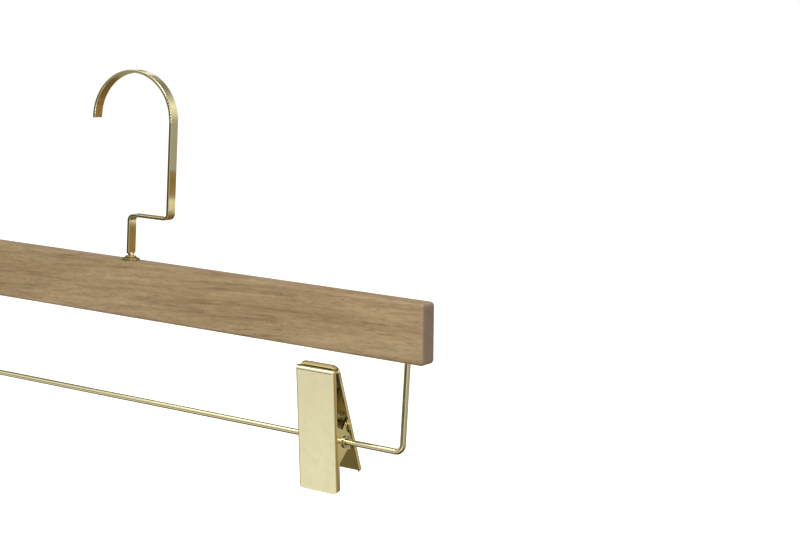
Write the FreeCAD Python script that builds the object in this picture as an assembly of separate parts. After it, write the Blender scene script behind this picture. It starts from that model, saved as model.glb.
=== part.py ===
import FreeCAD, Part
import math
import os

# Trouser hanger: a wooden bar on a swivelling flat-strip hook, with a U-shaped wire rod
# under the bar that carries two sprung clips.
# Millimetres. X runs along the bar, Y from its front face to its back face, Z up.
# The origin is the centre of the hook's arc, straight above the middle of the bar.
# A clip is drawn about its pivot axis, which is the rod's axis, then tilted and placed.

# Bar
bar_length = 360.0              # along the top face
bar_thickness = 12.0
bar_height = 30.0
bar_edge_radius = 2.0
bar_end_flare = 1.6             # each end runs out this much from top to bottom
arc_centre_rise = 73.9          # from the bar's top face up to the arc's centre

# Hook
strip_width = 6.0
strip_thickness = 1.5
strip_edge_radius = 0.3
strip_bend_inner_radius = 2.0
hook_inner_radius = 24.5        # the largest rail the arc seats on
hook_arc_degrees = 181.0
jog_rise = 24.0                 # middle of the sideways step above the bar's top face
shank_diameter = 3.0
shank_taper_length = 1.5
neck_length = 0.5               # bare shank between the taper and the ferrule

# Ferrule
ferrule_flange_diameter = 9.4
ferrule_flange_height = 1.0
ferrule_ring_diameter = 6.0
ferrule_ring_height = 1.1
ferrule_sleeve_diameter = 5.0
ferrule_sleeve_length = 12.0
ferrule_edge_radius = 0.4
shank_running_clearance = 0.08
shank_hole_clearance = 0.4      # around the shank in the wood, below the ferrule

# Washer and nut, in a counterbore in the bar's underside
washer_diameter = 7.0
washer_thickness = 0.5
washer_bore_clearance = 0.1
nut_across_flats = 5.5
nut_height = 2.4
nut_chamfer = 0.4
shank_end_length = 0.5          # shank standing past the nut
shank_end_cover = 0.6           # from the shank's end up inside the bar's underside
counterbore_clearance = 0.5     # around the washer

# Wire rod
rod_diameter = 3.0
rod_drop = 45.0                 # from the bar's underside down to the rod's axis
rod_leg_inset = 10.0            # from each end of the bar in to the leg's axis
rod_bend_radius = 4.0
rod_leg_depth = 16.0            # leg glued into the bar
rod_socket_end_gap = 1.0

# Clip leaves, pressed from sheet
clip_width = 22.6
sheet_thickness = 1.0
sheet_bend_inner_radius = 0.6
leaf_offset = 9.05              # from the pivot axis out to each leaf's outer face
flange_depth = 3.0
front_jaw_flange_depth = 1.7    # the front leaf's flanges above its ears
leaf_half_angle = 8.65          # each leaf's lean from the closed clip's middle plane
front_jaw_arm = 38.9
front_handle_arm = 25.2
back_jaw_arm = 40.2
back_handle_arm = 24.9
handle_corner_radius = 2.5
back_jaw_corner_radius = 4.0
jaw_gap = 0.1                   # each jaw stops this short of the middle plane
ear_rise = 10.0
ear_fall = 10.5
ear_flange_gap = 1.3            # from an ear's nose to the other leaf's flange
ear_side_gap = 0.35             # between a front ear and the back ear inside it

# Jaw pads
pad_height = 8.0
pad_lip_gap = 1.0
pad_side_gap = 0.8

# Pivot tube
tube_wall = 0.6
tube_head_diameter = 6.6
tube_head_thickness = 0.6
tube_head_gap = 0.15            # between a head and the front ear
rod_sliding_clearance = 0.15
ear_running_clearance = 0.15

# Torsion spring
spring_wire = 1.0
spring_coil_gap = 0.1           # between turns
spring_turns = 9
spring_tube_gap = 0.5           # from the tube out to the coil
spring_leg_arm = 17.0           # from the pivot down each leaf to the leg's end
spring_leg_gap = 0.1

# Where the clips stand at rest
clip_inset = 43.5               # from the middle of a clip out to the rod's leg
clip_tilt = 16.65               # the jaws lean to the front

# Worked out from the sizes above
bar_top = -arc_centre_rise
bar_bottom = bar_top - bar_height
arc_radius = hook_inner_radius + strip_thickness / 2
strip_bend_radius = strip_bend_inner_radius + strip_thickness / 2
jog_z = bar_top + jog_rise
ferrule_top = bar_top + ferrule_flange_height + ferrule_ring_height
taper_bottom = ferrule_top + neck_length
taper_top = taper_bottom + shank_taper_length
shank_end = bar_bottom + shank_end_cover
nut_bottom = shank_end + shank_end_length
nut_top = nut_bottom + nut_height
washer_top = nut_top + washer_thickness
ferrule_bore_diameter = shank_diameter + 2 * shank_running_clearance
shank_hole_diameter = shank_diameter + 2 * shank_hole_clearance
washer_bore_diameter = shank_diameter + 2 * washer_bore_clearance
counterbore_diameter = washer_diameter + 2 * counterbore_clearance

leg_x = bar_length / 2 - rod_leg_inset
rod_z = bar_bottom - rod_drop
leg_top = bar_bottom + rod_leg_depth
clip_x = leg_x - clip_inset

tube_bore_diameter = rod_diameter + 2 * rod_sliding_clearance
tube_diameter = tube_bore_diameter + 2 * tube_wall
ear_hole_diameter = tube_diameter + 2 * ear_running_clearance
ear_nose_radius = leaf_offset - flange_depth - ear_flange_gap
sheet_bend_outer_radius = sheet_bend_inner_radius + sheet_thickness
leaf_inner_offset = leaf_offset - sheet_thickness
spring_radius = tube_diameter / 2 + spring_tube_gap + spring_wire / 2
pad_top_arm = min(front_jaw_arm, back_jaw_arm) - sheet_thickness - pad_lip_gap
cut_margin = 5.0                # how far a cutting solid runs past what it cuts

origin = FreeCAD.Vector(0, 0, 0)
x_axis = FreeCAD.Vector(1, 0, 0)
y_axis = FreeCAD.Vector(0, 1, 0)
z_axis = FreeCAD.Vector(0, 0, 1)


def span_box(x_low, x_high, y_low, y_high, z_low, z_high):
    """Box between two corners."""
    corner = FreeCAD.Vector(x_low, y_low, z_low)
    return Part.makeBox(x_high - x_low, y_high - y_low, z_high - z_low, corner)


def upright_cylinder(diameter, z_low, z_high, x=0.0):
    """Cylinder along Z."""
    return Part.makeCylinder(diameter / 2, z_high - z_low, FreeCAD.Vector(x, 0, z_low))


def cross_cylinder(diameter, x_low, x_high):
    """Cylinder along the pivot axis."""
    return Part.makeCylinder(diameter / 2, x_high - x_low, FreeCAD.Vector(x_low, 0, 0), x_axis)


def joined(shapes):
    """One clean solid from pieces that touch."""
    return shapes[0].multiFuse(shapes[1:]).removeSplitter()


def edges_at(shape, direction, **place):
    """Straight edges along a direction whose middle has the given coordinates."""
    found = []
    for edge in shape.Edges:
        along = edge.tangentAt(edge.FirstParameter)
        middle = edge.CenterOfMass
        is_along = abs(abs(along.dot(direction)) - 1) < 1e-6
        if is_along and all(abs(getattr(middle, axis) - value) < 1e-6 for axis, value in place.items()):
            found.append(edge)
    return found


def tangent_point(y, z, radius, side):
    """Where the line from (y, z) touches a circle about the pivot; side is -1 or 1."""
    reach = math.hypot(y, z)
    angle = math.atan2(z, y) + side * math.acos(radius / reach)
    return radius * math.cos(angle), radius * math.sin(angle)


def strip_bend(centre_x, centre_z, mean_radius, start_degrees, sweep_degrees):
    """Bent length of the strip: its section turned about an axis along Y."""
    start = math.radians(start_degrees)
    radial = FreeCAD.Vector(math.cos(start), 0, math.sin(start))
    centre = FreeCAD.Vector(centre_x, 0, centre_z)
    half_side = y_axis * (strip_width / 2)
    inner = centre + radial * (mean_radius - strip_thickness / 2)
    outer = centre + radial * (mean_radius + strip_thickness / 2)
    corners = [inner - half_side, outer - half_side, outer + half_side, inner + half_side]
    section = Part.Face(Part.makePolygon(corners + [corners[0]]))
    return section.revolve(centre, y_axis * -1, sweep_degrees)


def hook_strip():
    """Flat strip: the arc over the rail, the stem, the sideways step and the lower stem."""
    half_width = strip_width / 2
    half_thickness = strip_thickness / 2
    upper_stem = span_box(arc_radius - half_thickness, arc_radius + half_thickness,
                          -half_width, half_width, jog_z + strip_bend_radius, 0)
    step = span_box(strip_bend_radius, arc_radius - strip_bend_radius,
                    -half_width, half_width, jog_z - half_thickness, jog_z + half_thickness)
    lower_stem = span_box(-half_thickness, half_thickness,
                          -half_width, half_width, taper_top, jog_z - strip_bend_radius)
    strip = joined([
        strip_bend(0, 0, arc_radius, 0, hook_arc_degrees),
        upper_stem,
        strip_bend(arc_radius - strip_bend_radius, jog_z + strip_bend_radius, strip_bend_radius, -90, 90),
        step,
        strip_bend(strip_bend_radius, jog_z - strip_bend_radius, strip_bend_radius, 90, 90),
        lower_stem,
    ])
    side_edges = [edge for edge in strip.Edges if abs(abs(edge.CenterOfMass.y) - half_width) < 1e-6]
    long_edges = [edge for edge in side_edges if edge.Length > strip_thickness + 1e-6]
    return strip.makeFillet(strip_edge_radius, long_edges)


def hook():
    """Hook: the strip, tapered into a round shank that turns in the ferrule."""
    half_width = strip_width / 2
    half_thickness = strip_thickness / 2
    corners = [FreeCAD.Vector(x, y, taper_top) for x, y in (
        (-half_thickness, -half_width), (half_thickness, -half_width),
        (half_thickness, half_width), (-half_thickness, half_width))]
    strip_end = Part.makePolygon(corners + [corners[0]])
    shank_start = Part.Wire(Part.makeCircle(shank_diameter / 2, FreeCAD.Vector(0, 0, taper_bottom)))
    taper = Part.makeLoft([strip_end, shank_start], True)
    shank = upright_cylinder(shank_diameter, shank_end, taper_bottom)
    return hook_strip().multiFuse([taper, shank])


def hook_ferrule():
    """Flanged sleeve pressed into the bar's top."""
    flange = upright_cylinder(ferrule_flange_diameter, bar_top, bar_top + ferrule_flange_height)
    ring = upright_cylinder(ferrule_ring_diameter, bar_top, ferrule_top)
    sleeve = upright_cylinder(ferrule_sleeve_diameter, bar_top - ferrule_sleeve_length, ferrule_top)
    body = joined([flange, ring, sleeve])
    rims = [edge for edge in body.Edges if edge.Closed and (
        abs(edge.CenterOfMass.z - ferrule_top) < 1e-6
        or (abs(edge.CenterOfMass.z - bar_top - ferrule_flange_height) < 1e-6
            and edge.Curve.Radius > ferrule_ring_diameter / 2 + 1e-6))]
    body = body.makeFillet(ferrule_edge_radius, rims)
    bore = upright_cylinder(ferrule_bore_diameter, bar_top - ferrule_sleeve_length - cut_margin,
                            ferrule_top + cut_margin)
    return body.cut(bore)


def hook_washer():
    """Washer between the counterbore's floor and the nut."""
    disc = upright_cylinder(washer_diameter, nut_top, washer_top)
    return disc.cut(upright_cylinder(washer_bore_diameter, nut_top - cut_margin, washer_top + cut_margin))


def hook_nut():
    """Hexagon nut on the shank's end, with its corners chamfered."""
    corner_radius = nut_across_flats / 2 / math.cos(math.radians(30))
    corners = [FreeCAD.Vector(corner_radius * math.cos(math.radians(60 * i)),
                              corner_radius * math.sin(math.radians(60 * i)), nut_bottom)
               for i in range(7)]
    prism = Part.Face(Part.makePolygon(corners)).extrude(z_axis * nut_height)
    blank = upright_cylinder(2 * corner_radius, nut_bottom, nut_top)
    rounding = blank.makeChamfer(nut_chamfer, [edge for edge in blank.Edges if edge.Closed])
    thread = upright_cylinder(shank_diameter, nut_bottom - cut_margin, nut_top + cut_margin)
    return prism.common(rounding).cut(thread)


def bar_blank():
    """Bar before boring, each end leaning out towards its foot."""
    half_top = bar_length / 2
    half_bottom = half_top + bar_end_flare
    outline = [(-half_bottom, bar_bottom), (half_bottom, bar_bottom), (half_top, bar_top), (-half_top, bar_top)]
    corners = [FreeCAD.Vector(x, -bar_thickness / 2, z) for x, z in outline]
    block = Part.Face(Part.makePolygon(corners + [corners[0]])).extrude(y_axis * bar_thickness)
    return block.makeFillet(bar_edge_radius, block.Edges)


def bar():
    """Wooden bar, bored for the ferrule, the shank, the nut and the rod's legs."""
    holes = [
        upright_cylinder(ferrule_sleeve_diameter, bar_top - ferrule_sleeve_length, bar_top + cut_margin),
        upright_cylinder(shank_hole_diameter, bar_bottom - cut_margin, bar_top + cut_margin),
        upright_cylinder(counterbore_diameter, bar_bottom - cut_margin, washer_top),
    ]
    for side in (-1, 1):
        holes.append(upright_cylinder(rod_diameter, bar_bottom - cut_margin,
                                      leg_top + rod_socket_end_gap, side * leg_x))
    return bar_blank().cut(holes)


def trouser_rod():
    """Wire bent into a wide U, its legs glued up into the bar."""
    bend_z = rod_z + rod_bend_radius
    run_half = leg_x - rod_bend_radius
    pieces = [Part.makeCylinder(rod_diameter / 2, 2 * run_half, FreeCAD.Vector(-run_half, 0, rod_z), x_axis)]
    for side in (-1, 1):
        pieces.append(upright_cylinder(rod_diameter, bend_z, leg_top, side * leg_x))
        section = Part.Face(Part.Wire(Part.makeCircle(rod_diameter / 2,
                                                      FreeCAD.Vector(side * leg_x, 0, bend_z))))
        pieces.append(section.revolve(FreeCAD.Vector(side * run_half, 0, bend_z), y_axis * side, 90))
    return joined(pieces)


def jaw_side_of_middle_plane(shape, lowest):
    """Cut a leaf's jaw back to the closed clip's middle plane, above the given height."""
    beyond = span_box(-clip_width, clip_width, -jaw_gap, leaf_offset * 2,
                      lowest, max(front_jaw_arm, back_jaw_arm) + cut_margin)
    beyond.rotate(origin, x_axis, leaf_half_angle)
    return shape.cut(beyond)


def pressed_blank(half_width, y_low, y_high, z_low, z_high, corner_radius, bend_radius):
    """Block with rounded corners at the jaw, bent over all round its -Y face but at the handle."""
    block = span_box(-half_width, half_width, y_low, y_high, z_low, z_high)
    if corner_radius > 0:
        block = block.makeFillet(corner_radius, edges_at(block, y_axis, z=z_high))
    face_edges = [edge for edge in block.Edges if abs(edge.CenterOfMass.y - y_low) < 1e-6]
    bends = [edge for edge in face_edges if edge.CenterOfMass.z > z_low + 1e-6]
    return block.makeFillet(bend_radius, bends)


def leaf_tray(jaw_arm, handle_arm, jaw_corner_radius, jaw_flange_depth):
    """Pressed tray: plate, side flanges and a lip along the jaw; outer face towards -Y."""
    half_width = clip_width / 2
    outer_y = -leaf_offset
    blank = pressed_blank(half_width, outer_y, outer_y + flange_depth, -handle_arm, jaw_arm,
                          jaw_corner_radius, sheet_bend_outer_radius)
    hollow = pressed_blank(half_width - sheet_thickness, outer_y + sheet_thickness,
                           outer_y + flange_depth + cut_margin, -handle_arm - cut_margin,
                           jaw_arm - sheet_thickness, max(0, jaw_corner_radius - sheet_thickness),
                           sheet_bend_inner_radius)
    outline = span_box(-half_width, half_width, outer_y, outer_y + flange_depth, -handle_arm, jaw_arm)
    outline = outline.makeFillet(handle_corner_radius, edges_at(outline, y_axis, z=-handle_arm))
    above_ears = span_box(-half_width, half_width, outer_y + jaw_flange_depth,
                          outer_y + flange_depth + cut_margin, 0,
                          jaw_arm - sheet_thickness - sheet_bend_inner_radius)
    return blank.cut([hollow, above_ears]).common(outline)


def leaf_ear(x_low, base_y):
    """Ear from its foot in the leaf to a round nose about the pivot."""
    lower = tangent_point(base_y, -ear_fall, ear_nose_radius, 1)
    upper = tangent_point(base_y, ear_rise, ear_nose_radius, -1)
    outline = [(base_y, -ear_fall), lower, (0, 0), upper, (base_y, ear_rise), (base_y, -ear_fall)]
    web = Part.Face(Part.makePolygon([FreeCAD.Vector(x_low, y, z) for y, z in outline]))
    nose = cross_cylinder(2 * ear_nose_radius, x_low, x_low + sheet_thickness)
    return web.extrude(x_axis * sheet_thickness).fuse(nose)


def clip_leaf(tray, ear_outer_x, ear_foot_y):
    """A tray with its two ears, bored for the pivot tube; outer face towards -Y."""
    ears = [leaf_ear(x_low, ear_foot_y) for x_low in (ear_outer_x - sheet_thickness, -ear_outer_x)]
    tray = jaw_side_of_middle_plane(tray, ear_rise)
    pivot_hole = cross_cylinder(ear_hole_diameter, -clip_width, clip_width)
    return joined([tray] + ears).cut(pivot_hole)


def jaw_pad():
    """Grip pad on a leaf's inner face, ground to the middle plane; leaf towards -Y."""
    half_width = clip_width / 2 - sheet_thickness - pad_side_gap
    pad = span_box(-half_width, half_width, -leaf_inner_offset, 0, pad_top_arm - pad_height, pad_top_arm)
    return jaw_side_of_middle_plane(pad, ear_rise)


def as_front(shape):
    """Lean a leaf drawn upright to its closed place at the front."""
    return shape.rotated(origin, x_axis, -leaf_half_angle)


def as_back(shape):
    """The same, turned to the back."""
    return shape.mirror(origin, y_axis).rotated(origin, x_axis, leaf_half_angle)


def front_plate():
    """Front leaf, whose ears run on from its flanges."""
    tray = leaf_tray(front_jaw_arm, front_handle_arm, 0, front_jaw_flange_depth)
    return as_front(clip_leaf(tray, clip_width / 2, sheet_bend_outer_radius - leaf_offset))


def back_plate():
    """Back leaf, whose ears rise from its plate, just inside the front ones."""
    tray = leaf_tray(back_jaw_arm, back_handle_arm, back_jaw_corner_radius, flange_depth)
    ear_outer_x = clip_width / 2 - sheet_thickness - ear_side_gap
    return as_back(clip_leaf(tray, ear_outer_x, -leaf_inner_offset - sheet_bend_inner_radius / 2))


def front_pad():
    """Grip pad in the front leaf."""
    return as_front(jaw_pad())


def back_pad():
    """Grip pad in the back leaf."""
    return as_back(jaw_pad())


def pivot_tube():
    """Hollow rivet through both pairs of ears; the rod runs through its bore."""
    inner_end = clip_width / 2 + tube_head_gap
    outer_end = inner_end + tube_head_thickness
    barrel = cross_cylinder(tube_diameter, -outer_end, outer_end)
    heads = [cross_cylinder(tube_head_diameter, inner_end, outer_end),
             cross_cylinder(tube_head_diameter, -outer_end, -inner_end)]
    bore = cross_cylinder(tube_bore_diameter, -outer_end - cut_margin, outer_end + cut_margin)
    return joined([barrel] + heads).cut(bore)


def spring_leg_end(lean_degrees, side):
    """Leg's end in the clip, resting on a leaf's inner face; side -1 is the front."""
    rest_y = side * (leaf_inner_offset - spring_wire / 2 - spring_leg_gap)
    end = FreeCAD.Vector(0, rest_y, -spring_leg_arm)
    turn = FreeCAD.Rotation(x_axis, lean_degrees)
    return turn.multVec(end)


def spring():
    """Torsion spring: a coil round the tube and a leg pushing each handle outwards."""
    front_end = spring_leg_end(-leaf_half_angle, -1)
    back_end = spring_leg_end(leaf_half_angle, 1)
    front_y, front_z = tangent_point(front_end.y, front_end.z, spring_radius, -1)
    back_y, back_z = tangent_point(back_end.y, back_end.z, spring_radius, 1)
    start_degrees = math.degrees(math.atan2(back_z, back_y))
    part_turn = (math.degrees(math.atan2(front_z, front_y)) - start_degrees) % 360
    pitch = spring_wire + spring_coil_gap
    coil_length = pitch * (spring_turns + part_turn / 360)
    coil = Part.makeHelix(pitch, coil_length, spring_radius)
    coil.rotate(origin, FreeCAD.Vector(1, 1, 1), 120)
    coil.rotate(origin, x_axis, start_degrees)
    coil.translate(x_axis * (-coil_length / 2))
    coil_start = FreeCAD.Vector(-coil_length / 2, back_y, back_z)
    coil_end = FreeCAD.Vector(coil_length / 2, front_y, front_z)
    back_tip = FreeCAD.Vector(coil_start.x, back_end.y, back_end.z)
    front_tip = FreeCAD.Vector(coil_end.x, front_end.y, front_end.z)
    path = Part.Wire([Part.makeLine(back_tip, coil_start)] + coil.Edges
                     + [Part.makeLine(coil_end, front_tip)])
    section = Part.Wire(Part.makeCircle(spring_wire / 2, back_tip, coil_start - back_tip))
    return path.makePipeShell([section], True, False)


def placed_on_rod(shape, side):
    """Tilt a closed clip's piece and put it on the rod; side -1 is the left clip."""
    shape = shape.rotated(origin, x_axis, clip_tilt)
    shape.translate(FreeCAD.Vector(side * clip_x, 0, rod_z))
    return shape


def save(name, shape):
    """Write one piece as a STEP file named after its node."""
    shape.exportStep(os.path.join("parts", name + ".step"))


os.makedirs("parts", exist_ok=True)

save("bar", bar())
save("hook", hook())
save("hook_ferrule", hook_ferrule())
save("hook_washer", hook_washer())
save("hook_nut", hook_nut())
save("trouser_rod", trouser_rod())

clip_pieces = {
    "front_plate": front_plate(),
    "back_plate": back_plate(),
    "front_pad": front_pad(),
    "back_pad": back_pad(),
    "pivot_tube": pivot_tube(),
    "spring": spring(),
}
for side_name, side in (("left", -1), ("right", 1)):
    for piece_name, piece in clip_pieces.items():
        save(side_name + "_" + piece_name, placed_on_rod(piece, side))
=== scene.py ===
import bmesh
import bpy
import math
from mathutils import Matrix, Vector


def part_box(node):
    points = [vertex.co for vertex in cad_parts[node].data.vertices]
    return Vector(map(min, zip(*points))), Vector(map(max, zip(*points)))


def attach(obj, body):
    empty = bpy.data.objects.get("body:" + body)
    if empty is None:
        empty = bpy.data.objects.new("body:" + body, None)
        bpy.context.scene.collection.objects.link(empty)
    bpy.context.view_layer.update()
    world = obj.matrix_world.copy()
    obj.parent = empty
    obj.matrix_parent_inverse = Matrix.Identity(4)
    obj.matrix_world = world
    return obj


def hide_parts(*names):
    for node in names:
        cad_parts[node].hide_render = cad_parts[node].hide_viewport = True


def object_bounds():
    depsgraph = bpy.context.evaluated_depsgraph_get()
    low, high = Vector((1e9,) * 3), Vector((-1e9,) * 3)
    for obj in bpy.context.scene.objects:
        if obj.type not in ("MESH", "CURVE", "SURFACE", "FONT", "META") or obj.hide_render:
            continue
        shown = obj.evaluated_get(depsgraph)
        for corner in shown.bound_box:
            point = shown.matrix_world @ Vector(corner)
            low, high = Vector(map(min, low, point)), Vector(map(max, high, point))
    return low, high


# The trouser hanger dressed for a studio picture. Metres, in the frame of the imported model:
# the origin is the centre of the hook's arc, +X along the bar, +Y to the back, +Z up.

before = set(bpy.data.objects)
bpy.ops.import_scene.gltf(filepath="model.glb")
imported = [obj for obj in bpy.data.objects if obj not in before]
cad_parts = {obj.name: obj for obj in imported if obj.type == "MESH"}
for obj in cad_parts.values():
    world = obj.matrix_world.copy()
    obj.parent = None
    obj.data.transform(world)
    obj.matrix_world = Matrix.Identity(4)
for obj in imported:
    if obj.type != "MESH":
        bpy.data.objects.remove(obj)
cad_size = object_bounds()


# ---------------------------------------------------------------- node trees

class Shade:
    """One node tree, built by naming each node's inputs."""

    def __init__(self, tree):
        self.tree = tree
        self.tree.nodes.clear()

    def node(self, kind, inputs=None, **settings):
        """Add a node; inputs are values, or sockets to link."""
        made = self.tree.nodes.new("ShaderNode" + kind)
        for name, value in settings.items():
            setattr(made, name, value)
        for key, value in (inputs or {}).items():
            if isinstance(value, bpy.types.NodeSocket):
                self.tree.links.new(value, made.inputs[key])
            else:
                made.inputs[key].default_value = value
        return made

    def maths(self, operation, a, b=0.0):
        """Result of one sum."""
        return self.node("Math", {0: a, 1: b}, operation=operation).outputs[0]

    def scaled(self, place, scale, turn=(0.0, 0.0, 0.0)):
        """Coordinates turned, then stretched, so that features keep their length along the turned axes."""
        turned = self.node("Mapping", {"Vector": place, "Rotation": turn}).outputs[0]
        return self.node("Mapping", {"Vector": turned, "Scale": scale}).outputs[0]

    def noise(self, place, scale=1.0, detail=3.0, roughness=0.5, distortion=0.0):
        """Smooth noise from 0 to 1."""
        return self.node("TexNoise", {"Vector": place, "Scale": scale, "Detail": detail,
                                      "Roughness": roughness, "Distortion": distortion}).outputs["Fac"]

    def spread(self, value, low, high, to_low=0.0, to_high=1.0):
        """Stretch a range of values onto another, with soft ends."""
        return self.node("MapRange", {"Value": value, "From Min": low, "From Max": high,
                                      "To Min": to_low, "To Max": to_high},
                         interpolation_type="SMOOTHSTEP").outputs["Result"]

    def mix(self, factor, first, second, blend="MIX"):
        """Blend of two colours."""
        made = self.node("Mix", {0: factor, 6: first, 7: second}, data_type="RGBA", blend_type=blend)
        return made.outputs[2]

    def shaded(self, base, amount, pattern, stops):
        """A colour multiplied by a pattern's ramp."""
        return self.mix(amount, base, self.ramp(pattern, stops), "MULTIPLY")

    def ramp(self, factor, stops):
        """Colour along a list of (place, colour)."""
        made = self.node("ValToRGB", {"Fac": factor})
        elements = made.color_ramp.elements
        while len(elements) < len(stops):
            elements.new(0.5)
        for element, (position, colour) in zip(elements, stops):
            element.position = position
            element.color = colour
        return made.outputs["Color"]

    def bump(self, height, strength, distance, under=None):
        """Surface relief; distance is the height of a full step."""
        inputs = {"Height": height, "Strength": strength, "Distance": distance}
        if under is not None:
            inputs["Normal"] = under
        return self.node("Bump", inputs).outputs["Normal"]


def new_material(name):
    """A material with an empty node tree."""
    material = bpy.data.materials.new(name)
    material.use_nodes = True
    return material, Shade(material.node_tree)


def finish_material(shade, inputs):
    """Join a Principled surface to the material's output."""
    surface = shade.node("BsdfPrincipled", inputs)
    shade.node("OutputMaterial", {"Surface": surface.outputs[0]})


def rgb(red, green, blue):
    """Opaque colour."""
    return (red, green, blue, 1.0)


def side_grain(shade, place):
    """Colour, fibres and pores of the long faces: soft figure, darker streaks, fine fibres, short pores."""
    slant = (0.0, math.radians(3.6), 0.0)
    drift = (0.0, math.radians(2.0), 0.0)
    figure = shade.noise(shade.scaled(place, (9.0, 60.0, 85.0), slant), detail=3.0, roughness=0.55,
                         distortion=0.6)
    streaks = shade.noise(shade.scaled(place, (19.0, 130.0, 420.0), slant), detail=3.0, roughness=0.62,
                          distortion=0.9)
    wisps = shade.noise(shade.scaled(place, (52.0, 300.0, 420.0), drift), detail=3.0, roughness=0.65,
                        distortion=0.8)
    fibres = shade.noise(shade.scaled(place, (190.0, 700.0, 800.0), drift), detail=3.0, roughness=0.7)
    tone = shade.noise(shade.scaled(place, (9.0, 60.0, 45.0)), detail=2.0)
    pores = shade.node("TexVoronoi", {"Vector": shade.scaled(place, (300.0, 1100.0, 1150.0), drift),
                                      "Scale": 1.0, "Randomness": 1.0}).outputs["Distance"]
    pore_patch = shade.spread(shade.noise(shade.scaled(place, (60.0, 260.0, 300.0))), 0.38, 0.62)
    pore_depth = shade.maths("MULTIPLY", shade.spread(pores, 0.34, 0.10), pore_patch)

    base = shade.ramp(figure, [(0.32, rgb(0.252, 0.174, 0.091)), (0.46, rgb(0.286, 0.206, 0.111)),
                               (0.60, rgb(0.308, 0.227, 0.125)), (0.78, rgb(0.328, 0.246, 0.138))])
    base = shade.shaded(base, 0.85, streaks, [
        (0.32, rgb(0.70, 0.63, 0.57)), (0.45, rgb(0.93, 0.905, 0.885)),
        (0.60, rgb(1.03, 1.03, 1.03)), (0.80, rgb(1.09, 1.09, 1.08))])
    base = shade.shaded(base, 0.80, wisps, [
        (0.30, rgb(0.78, 0.75, 0.71)), (0.46, rgb(0.99, 0.985, 0.98)), (0.72, rgb(1.13, 1.13, 1.12))])
    base = shade.shaded(base, 0.75, fibres, [
        (0.28, rgb(0.78, 0.77, 0.75)), (0.50, rgb(1.0, 1.0, 1.0)), (0.72, rgb(1.20, 1.20, 1.19))])
    base = shade.shaded(base, 0.80, tone, [
        (0.32, rgb(1.03, 0.985, 0.975)), (0.68, rgb(0.98, 1.01, 0.995))])
    base = shade.mix(shade.maths("MULTIPLY", pore_depth, 0.45), base, rgb(0.130, 0.085, 0.046))
    return base, fibres, pore_depth


def end_grain(shade, place):
    """Colour of the sawn ends: close rings under a fine speckle."""
    tilt = (0.35, 0.0, 0.0)
    rings = shade.noise(shade.scaled(place, (20.0, 70.0, 420.0), tilt), detail=3.0, distortion=0.6)
    speckle = shade.noise(place, scale=1500.0, detail=3.0, roughness=0.6)
    base = shade.ramp(rings, [(0.30, rgb(0.180, 0.128, 0.084)), (0.70, rgb(0.212, 0.154, 0.104))])
    return shade.shaded(base, 0.70, speckle, [(0.32, rgb(0.84, 0.82, 0.80)), (0.65, rgb(1.08, 1.08, 1.08))])


def wood_material():
    """Light hardwood under a satin lacquer, with end grain on the faces that look along the bar."""
    material, shade = new_material("lacquered_wood")
    coordinates = shade.node("TexCoord")
    place = coordinates.outputs["Object"]
    base, fibres, pore_depth = side_grain(shade, place)
    facing = shade.node("SeparateXYZ", {0: coordinates.outputs["Normal"]}).outputs["X"]
    end_mask = shade.spread(shade.maths("ABSOLUTE", facing), 0.45, 0.92)
    base = shade.mix(end_mask, base, end_grain(shade, place))

    sheen_patch = shade.noise(shade.scaled(place, (30.0, 120.0, 160.0)), detail=3.0)
    roughness = shade.spread(sheen_patch, 0.3, 0.7, 0.40, 0.52)
    relief = shade.bump(fibres, 0.22, 0.00012)
    relief = shade.bump(shade.maths("SUBTRACT", 1.0, pore_depth), 0.40, 0.00014, relief)
    finish_material(shade, {
        "Base Color": base, "Roughness": roughness, "Normal": relief,
        "Specular IOR Level": 0.34, "Coat Weight": 0.05, "Coat Roughness": 0.30,
    })
    return material


def gold_material(name, colour, tarnish, smooth, rough, relief_strength, brushing):
    """Pale gold plate: cloudy tone, faint orange peel, a few pin marks, wiping marks along one way."""
    material, shade = new_material(name)
    place = shade.node("TexCoord").outputs["Object"]
    cloud = shade.noise(place, scale=70.0, detail=3.0, roughness=0.5, distortion=0.4)
    smudge = shade.noise(place, scale=260.0, detail=3.0, roughness=0.6)
    wiping = shade.noise(shade.scaled(place, brushing), detail=2.0, roughness=0.6)
    pins = shade.node("TexVoronoi", {"Vector": place, "Scale": 330.0,
                                     "Randomness": 1.0}).outputs["Distance"]
    pin_mask = shade.maths("MULTIPLY", shade.spread(pins, 0.12, 0.05), shade.spread(smudge, 0.50, 0.62))

    base = shade.mix(shade.spread(cloud, 0.3, 0.75, 0.0, 0.50), colour, tarnish)
    base = shade.mix(shade.spread(smudge, 0.35, 0.75, 0.0, 0.22), base, tarnish)
    base = shade.mix(shade.maths("MULTIPLY", pin_mask, 0.45), base, rgb(0.40, 0.30, 0.13))
    wear = shade.maths("ADD", smudge, shade.maths("MULTIPLY", wiping, 0.4))
    worn = shade.spread(wear, 0.5, 0.95, smooth, rough)
    peel = shade.noise(place, scale=240.0, detail=1.0)
    relief = shade.bump(peel, relief_strength, 0.00004)
    relief = shade.bump(shade.maths("SUBTRACT", 1.0, pin_mask), 0.2, 0.00004, relief)
    finish_material(shade, {"Base Color": base, "Metallic": 1.0, "Roughness": worn, "Normal": relief})
    return material


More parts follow.
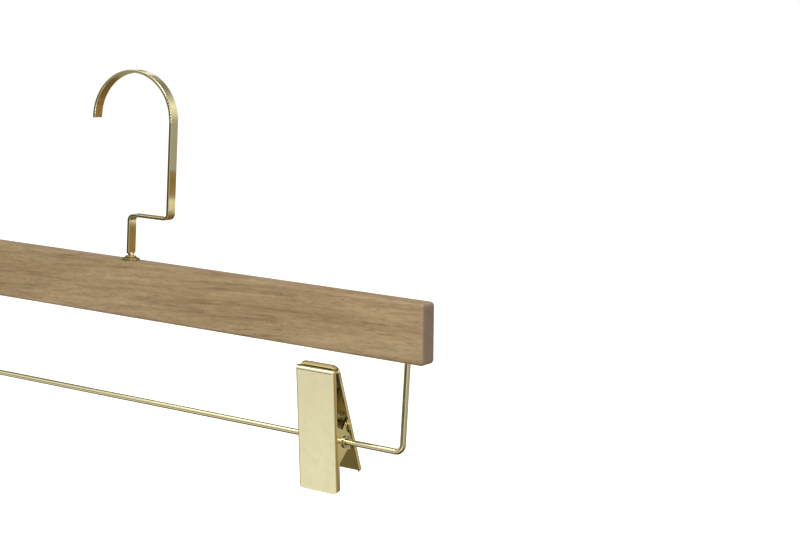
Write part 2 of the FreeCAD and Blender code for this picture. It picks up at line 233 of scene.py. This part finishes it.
def steel_material(name, colour, smooth, rough, brushing):
    """Bright plated steel with drawing marks and a few dull spots."""
    material, shade = new_material(name)
    place = shade.node("TexCoord").outputs["Object"]
    cloud = shade.noise(place, scale=420.0, detail=4.0, roughness=0.6)
    drawn = shade.noise(shade.scaled(place, brushing), detail=4.0, roughness=0.7)
    base = shade.mix(shade.spread(cloud, 0.35, 0.7), colour, rgb(0.34, 0.33, 0.30))
    base = shade.mix(shade.spread(drawn, 0.45, 0.75, 0.0, 0.35), base, rgb(0.70, 0.69, 0.66))
    relief = shade.bump(drawn, 0.12, 0.00003)
    finish_material(shade, {"Base Color": base, "Metallic": 1.0, "Normal": relief,
                            "Roughness": shade.spread(cloud, 0.3, 0.8, smooth, rough)})
    return material


def rubber_material():
    """Dark brown rubber, finely pebbled, a little dusty."""
    material, shade = new_material("pad_rubber")
    place = shade.node("TexCoord").outputs["Object"]
    dirt = shade.noise(place, scale=260.0, detail=5.0, roughness=0.65)
    pebbles = shade.node("TexVoronoi", {"Vector": place, "Scale": 2400.0}).outputs["Distance"]
    base = shade.ramp(dirt, [(0.3, rgb(0.085, 0.068, 0.044)), (0.6, rgb(0.105, 0.088, 0.062)),
                             (0.8, rgb(0.150, 0.128, 0.094))])
    finish_material(shade, {"Base Color": base, "Roughness": shade.spread(dirt, 0.3, 0.7, 0.42, 0.62),
                            "Normal": shade.bump(pebbles, 0.3, 0.00008)})
    return material


def give(material, *nodes):
    """Put one material on whole CAD nodes."""
    for name in nodes:
        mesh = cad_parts[name].data
        mesh.materials.clear()
        mesh.materials.append(material)


gold = rgb(0.87, 0.80, 0.51)
deep_gold = rgb(0.82, 0.73, 0.41)
strip_gold = gold_material("strip_gold", rgb(0.82, 0.75, 0.43), rgb(0.76, 0.66, 0.33), 0.06, 0.11, 0.05,
                           (600.0, 40.0, 60.0))
dull_gold = gold_material("dull_gold", rgb(0.36, 0.285, 0.125), rgb(0.28, 0.21, 0.08), 0.20, 0.34, 0.20,
                          (300.0, 300.0, 300.0))
wire_gold = gold_material("wire_gold", gold, deep_gold, 0.10, 0.18, 0.08, (50.0, 900.0, 900.0))
plate_gold = gold_material("plate_gold", gold, rgb(0.84, 0.765, 0.465), 0.14, 0.22, 0.16,
                           (900.0, 900.0, 45.0))
fastener_steel = steel_material("fastener_steel", rgb(0.56, 0.55, 0.52), 0.24, 0.42, (900.0, 900.0, 60.0))
spring_steel = steel_material("spring_steel", rgb(0.70, 0.675, 0.52), 0.18, 0.34, (300.0, 900.0, 900.0))
pad_rubber = rubber_material()

give(wood_material(), "bar")
give(strip_gold, "hook")
give(dull_gold, "hook_ferrule")
give(wire_gold, "trouser_rod")
give(fastener_steel, "hook_washer", "hook_nut")
for side in ("left", "right"):
    give(plate_gold, side + "_front_plate", side + "_back_plate")
    give(spring_steel, side + "_spring", side + "_pivot_tube")
    give(pad_rubber, side + "_front_pad", side + "_back_pad")


# ---------------------------------------------------------------- springs

coil_reach = 0.0040             # from the pivot to just outside the coil


def middle(node):
    """Centre of a node's box."""
    low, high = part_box(node)
    return (Vector(low) + Vector(high)) / 2


def spring_share(name, node, body, wanted):
    """Copy of the faces of a spring that pass the test, riding on one body."""
    share = bpy.data.objects.new(name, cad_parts[node].data.copy())
    bpy.context.scene.collection.objects.link(share)
    faces = bmesh.new()
    faces.from_mesh(share.data)
    others = [face for face in faces.faces if not wanted(face.calc_center_median())]
    bmesh.ops.delete(faces, geom=others, context="FACES")
    faces.to_mesh(share.data)
    faces.free()
    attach(share, body)
    return share


def split_spring(side):
    """A spring in two: its back leg goes with the back leaf, its coil and front leg with the front leaf."""
    pivot = middle(side + "_pivot_tube")
    across = middle(side + "_back_plate") - middle(side + "_front_plate")

    def in_back_leg(point):
        """True outside the coil, on the back leaf's side."""
        arm = Vector((0.0, point.y - pivot.y, point.z - pivot.z))
        return arm.length > coil_reach and arm.y * across.y + arm.z * across.z > 0.0

    coil = spring_share(side + "_spring_coil", side + "_spring", side + "_front_leaf",
                        lambda point: not in_back_leg(point))
    spring_share(side + "_spring_back_leg", side + "_spring", side + "_back_leaf", in_back_leg)
    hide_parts(side + "_spring")


for side in ("left", "right"):
    split_spring(side)


# ---------------------------------------------------------------- studio

def rectangle(name, centre, along, across, material):
    """Flat stage panel from its centre and its two half sides."""
    centre, along, across = Vector(centre), Vector(along), Vector(across)
    corners = [centre - along - across, centre + along - across,
               centre + along + across, centre - along + across]
    mesh = bpy.data.meshes.new(name)
    mesh.from_pydata([tuple(corner) for corner in corners], [], [(0, 1, 2, 3)])
    panel = bpy.data.objects.new(name, mesh)
    bpy.context.scene.collection.objects.link(panel)
    mesh.materials.append(material)
    return panel


def floor_material():
    """White paper floor with a faint tooth, lit evenly so that it runs into the backdrop."""
    material, shade = new_material("floor_paper")
    place = shade.node("TexCoord").outputs["Object"]
    base = shade.ramp(shade.noise(place, scale=3.0, detail=4.0),
                      [(0.3, rgb(0.90, 0.90, 0.895)), (0.7, rgb(0.93, 0.93, 0.925))])
    relief = shade.bump(shade.noise(place, scale=700.0, detail=3.0), 0.1, 0.0002)
    finish_material(shade, {"Base Color": base, "Roughness": 0.9, "Normal": relief,
                            "Emission Color": rgb(1.0, 1.0, 1.0), "Emission Strength": 0.75})
    return material


def card_material(name, dark, light):
    """Streaked card, seen only in the metal's reflections."""
    material, shade = new_material(name)
    place = shade.node("TexCoord").outputs["Object"]
    colour = shade.ramp(shade.noise(shade.scaled(place, (20.0, 20.0, 120.0)), detail=3.0),
                        [(0.3, dark), (0.7, light)])
    glow = shade.node("Emission", {"Color": colour, "Strength": 1.0})
    shade.node("OutputMaterial", {"Surface": glow.outputs[0]})
    return material


def studio_world():
    """White to the camera. Reflections see a dark front horizon, a bright low front and a warm back."""
    world = bpy.data.worlds.new("studio")
    bpy.context.scene.world = world
    world.use_nodes = True
    shade = Shade(world.node_tree)
    direction = shade.node("TexCoord").outputs["Generated"]
    parts = shade.node("SeparateXYZ", {0: direction}).outputs
    half_up = shade.maths("MULTIPLY", parts["Z"], 0.5)
    height = shade.maths("ADD", half_up, 0.5)
    ground = rgb(0.10, 0.075, 0.036)
    rafters = rgb(0.16, 0.125, 0.065)
    ceiling = rgb(0.13, 0.115, 0.085)

    def grey(value):
        """A grey on the warm side."""
        return rgb(value, value, value * 0.985)

    def stops(*pairs):
        """Ramp stops from (how far up, colour), where -1 is straight down and 1 straight up."""
        return [(z * 0.5 + 0.5, colour) for z, colour in pairs]

    front = shade.ramp(height, stops(
        (-1.0, ground), (-0.72, rgb(0.16, 0.12, 0.055)), (-0.60, grey(0.96)), (-0.50, grey(0.93)),
        (-0.42, grey(0.79)), (-0.31, grey(0.74)), (-0.27, grey(0.10)), (-0.05, grey(0.08)),
        (0.0, grey(0.50)), (0.20, grey(0.75)), (0.60, grey(1.05)), (1.0, grey(0.55))))
    front = shade.mix(shade.spread(parts["X"], 0.15, 0.50), front, grey(0.80))
    back = shade.ramp(height, stops(
        (-1.0, ground), (-0.42, rgb(0.24, 0.155, 0.062)), (-0.26, rgb(0.28, 0.22, 0.13)),
        (-0.15, grey(0.36)), (0.02, grey(0.48)), (0.14, grey(0.76)), (0.36, grey(1.10)),
        (0.50, grey(0.62)), (0.66, ceiling), (0.90, rgb(0.15, 0.135, 0.10)), (1.0, grey(0.40))))
    back_left = shade.ramp(height, stops(
        (-1.0, ground), (-0.35, rgb(0.34, 0.29, 0.16)), (0.0, rgb(0.30, 0.25, 0.13)), (0.24, rafters),
        (0.31, grey(0.95)), (0.45, grey(1.0)), (0.53, rafters), (1.0, ceiling)))
    back = shade.mix(shade.spread(parts["X"], -0.25, -0.40), back, back_left)

    towards_front = (-0.283, -0.959, 0.0)
    front_side = shade.node("VectorMath", {0: direction, 1: towards_front}, operation="DOT_PRODUCT")
    room = shade.mix(shade.spread(front_side.outputs["Value"], 0.80, 0.10), front, back)
    from_right = shade.spread(parts["X"], 0.66, 0.95, 1.0, 1.5)
    room_light = shade.node("Background", {"Color": room, "Strength": from_right})
    seen = shade.node("Background", {"Color": rgb(1.0, 1.0, 1.0), "Strength": 1.0})
    camera_ray = shade.node("LightPath").outputs["Is Camera Ray"]
    both = shade.node("MixShader", {0: camera_ray, 1: room_light.outputs[0], 2: seen.outputs[0]})
    shade.node("OutputWorld", {"Surface": both.outputs[0]})


def softbox(name, place, target, size, power, colour=(1.0, 1.0, 1.0)):
    """Square soft light aimed at a point."""
    lamp = bpy.data.lights.new(name, "AREA")
    lamp.shape = "SQUARE"
    lamp.size = size
    lamp.energy = power
    lamp.color = colour
    lamp_object = bpy.data.objects.new(name, lamp)
    bpy.context.scene.collection.objects.link(lamp_object)
    lamp_object.location = place
    aim = Vector(target) - Vector(place)
    lamp_object.rotation_euler = aim.to_track_quat("-Z", "Y").to_euler()
    lamp_object.visible_camera = False
    return lamp_object


def photograph_camera():
    """Camera at the photograph's angle: from the front right, a little above, tipped sideways."""
    azimuth = math.radians(28.76)
    elevation = math.radians(8.24)
    roll = math.radians(3.20)
    place = (0.50575, -0.62449, 0.04253)
    camera = bpy.data.cameras.new("photograph_camera")
    camera.sensor_width = 36.0
    camera.lens = 67.82
    camera.clip_start = 0.01
    camera_object = bpy.data.objects.new("photograph_camera", camera)
    bpy.context.scene.collection.objects.link(camera_object)
    turn = (Matrix.Rotation(azimuth, 4, "Z") @ Matrix.Rotation(math.pi / 2 - elevation, 4, "X")
            @ Matrix.Rotation(roll, 4, "Z"))
    camera_object.matrix_world = Matrix.Translation(place) @ turn
    bpy.context.scene.camera = camera_object


floor_drop = 0.22               # from the hanger's lowest point down to the floor
floor_reach = 6.0
floor = rectangle("floor", (0.0, 0.0, cad_size[0][2] - floor_drop), (floor_reach, 0.0, 0.0),
                  (0.0, floor_reach, 0.0), floor_material())
floor.visible_glossy = False
floor.visible_diffuse = False

# Upright cards behind the hanger, where its polished faces would see the wood of its neighbours and a gap
# between them. Each row is a card's colour, its two sides along X, its foot and its top.
brown = card_material("brown_card", rgb(0.26, 0.165, 0.068), rgb(0.36, 0.245, 0.105))
tan = card_material("tan_card", rgb(0.34, 0.25, 0.12), rgb(0.46, 0.36, 0.19))
pale_tan = card_material("pale_tan_card", rgb(0.43, 0.38, 0.25), rgb(0.55, 0.50, 0.36))
cream = card_material("cream_card", rgb(0.80, 0.78, 0.70), rgb(0.90, 0.88, 0.80))
card_y = 0.15
cards = (
    (brown, 0.131, 0.18, -0.0582, -0.0408),
    (cream, 0.131, 0.18, -0.0668, -0.0584),
    (brown, 0.131, 0.18, -0.110, -0.067),
    (cream, 0.105, 0.130, -0.0775, -0.066),
    (brown, 0.060, 0.130, -0.110, -0.0778),
    (brown, -0.02, 0.125, -0.062, -0.004),
    (tan, 0.19, 0.213, -0.215, -0.1633),
    (pale_tan, 0.213, 0.30, -0.215, -0.1633),
    (cream, 0.19, 0.30, -0.1631, -0.1588),
    (brown, 0.19, 0.30, -0.1586, -0.130),
)
for number, (card_colour, x_low, x_high, z_low, z_high) in enumerate(cards):
    card = rectangle(f"card_{number}", ((x_low + x_high) / 2, card_y, (z_low + z_high) / 2),
                     ((x_high - x_low) / 2, 0.0, 0.0), (0.0, 0.0, (z_high - z_low) / 2), card_colour)
    card.visible_camera = False
    card.visible_diffuse = False
    card.visible_shadow = False
    card.visible_transmission = False

studio_world()
clip_side = (0.05, 0.0, -0.09)  # the lights' aim, between the bar's middle and the right clip
softbox("top_light", (0.22, 0.28, 0.80), clip_side, 0.5, 4.8)
softbox("key_light", (-0.40, -0.25, 0.80), clip_side, 0.5, 2.0)
softbox("front_light", (0.40, -0.38, 0.28), (0.10, 0.0, -0.09), 0.25, 0.85, (1.0, 0.985, 0.96))
fill_light = softbox("fill_light", (0.9, -1.2, -0.05), clip_side, 0.8, 9.0)
fill_light.visible_glossy = False
bounce_light = softbox("bounce_light", (-0.05, -0.42, -0.34), (0.0, 0.0, -0.09), 0.3, 0.62)
bounce_light.visible_glossy = False
photograph_camera()
bpy.context.scene.view_settings.view_transform = "Standard"
